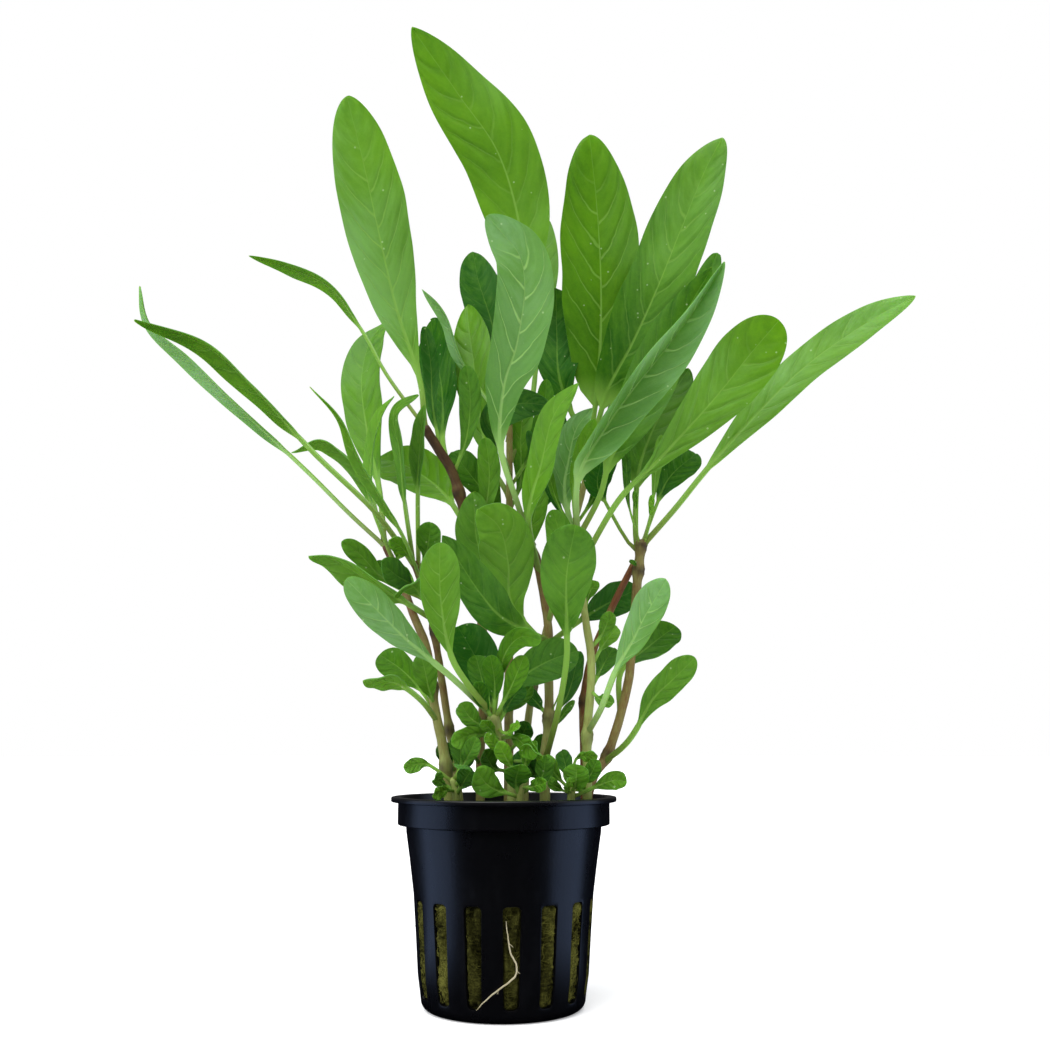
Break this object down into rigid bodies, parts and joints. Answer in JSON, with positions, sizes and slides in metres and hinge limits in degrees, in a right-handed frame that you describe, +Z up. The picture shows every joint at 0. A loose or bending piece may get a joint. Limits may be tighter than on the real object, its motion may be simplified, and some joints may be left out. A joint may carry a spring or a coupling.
{
  "type": "potted hygrophila",
  "caption": "Bunch of leafy upright water plant stems growing from a rock wool plug in a small round slotted net pot.",
  "frame": {"origin": "centre of the pot's flat base, on the surface it stands on", "axes": "+Z up along the pot's axis, -Y towards the plant's front as pictured, +X to the viewer's right"},
  "size_m": [0.2058, 0.0979, 0.2554],
  "materials": {
    "pot_plastic": "satin black moulded plastic",
    "rock_wool": "matt fibrous mineral wool, stained olive and brown",
    "root": "matt off-white root",
    "stem": "satin stem, pale green and pink low down, brown higher up",
    "leaf": "satin green leaf with a paler midrib and side veins"
  },
  "bodies": {
    "root": {"net_pot": "pot_plastic", "rock_wool": "rock_wool", "white_root": "root", "left_stem": "stem", "left_inner_stem": "stem", "brown_stem": "stem", "tall_back_stem": "stem", "right_back_stem": "stem", "centre_stem": "stem", "front_stem": "stem", "right_stem": "stem", "red_stem": "stem", "low_shoot": "stem", "left_runner": "stem", "front_runner": "stem", "right_runner": "stem", "tallest_leaf": "leaf", "tall_left_leaf": "leaf", "folded_centre_leaf": "leaf", "broad_upright_leaf": "leaf", "tall_right_leaf": "leaf", "creased_front_leaf": "leaf", "behind_crease_leaf": "leaf", "right_back_leaf": "leaf", "broad_right_leaf": "leaf", "long_right_leaf": "leaf", "far_left_low_leaf": "leaf", "far_left_high_leaf": "leaf", "upper_left_leaf": "leaf", "left_back_leaf": "leaf", "left_front_leaf": "leaf", "left_edge_leaf": "leaf", "left_curled_leaf": "leaf", "left_upright_leaf": "leaf", "inner_narrow_leaf": "leaf", "level_back_leaf": "leaf", "dark_back_left_leaf": "leaf", "bright_back_leaf": "leaf", "dark_back_top_leaf": "leaf", "thin_arched_leaf": "leaf", "behind_tallest_leaf": "leaf", "dark_between_leaf": "leaf", "dark_arched_leaf": "leaf", "bright_narrow_leaf": "leaf", "pale_upright_leaf": "leaf", "centre_broad_leaf": "leaf", "centre_left_leaf": "leaf", "slanting_leaf": "leaf", "pale_front_leaf": "leaf", "lower_left_leaf": "leaf", "low_left_thin_leaf": "leaf", "left_outer_leaf": "leaf", "dark_front_leaf": "leaf", "broad_front_leaf": "leaf", "pale_right_leaf": "leaf", "dark_right_leaf": "leaf", "right_middle_leaf": "leaf", "low_right_leaf": "leaf"}
  },
  "joints": []
}
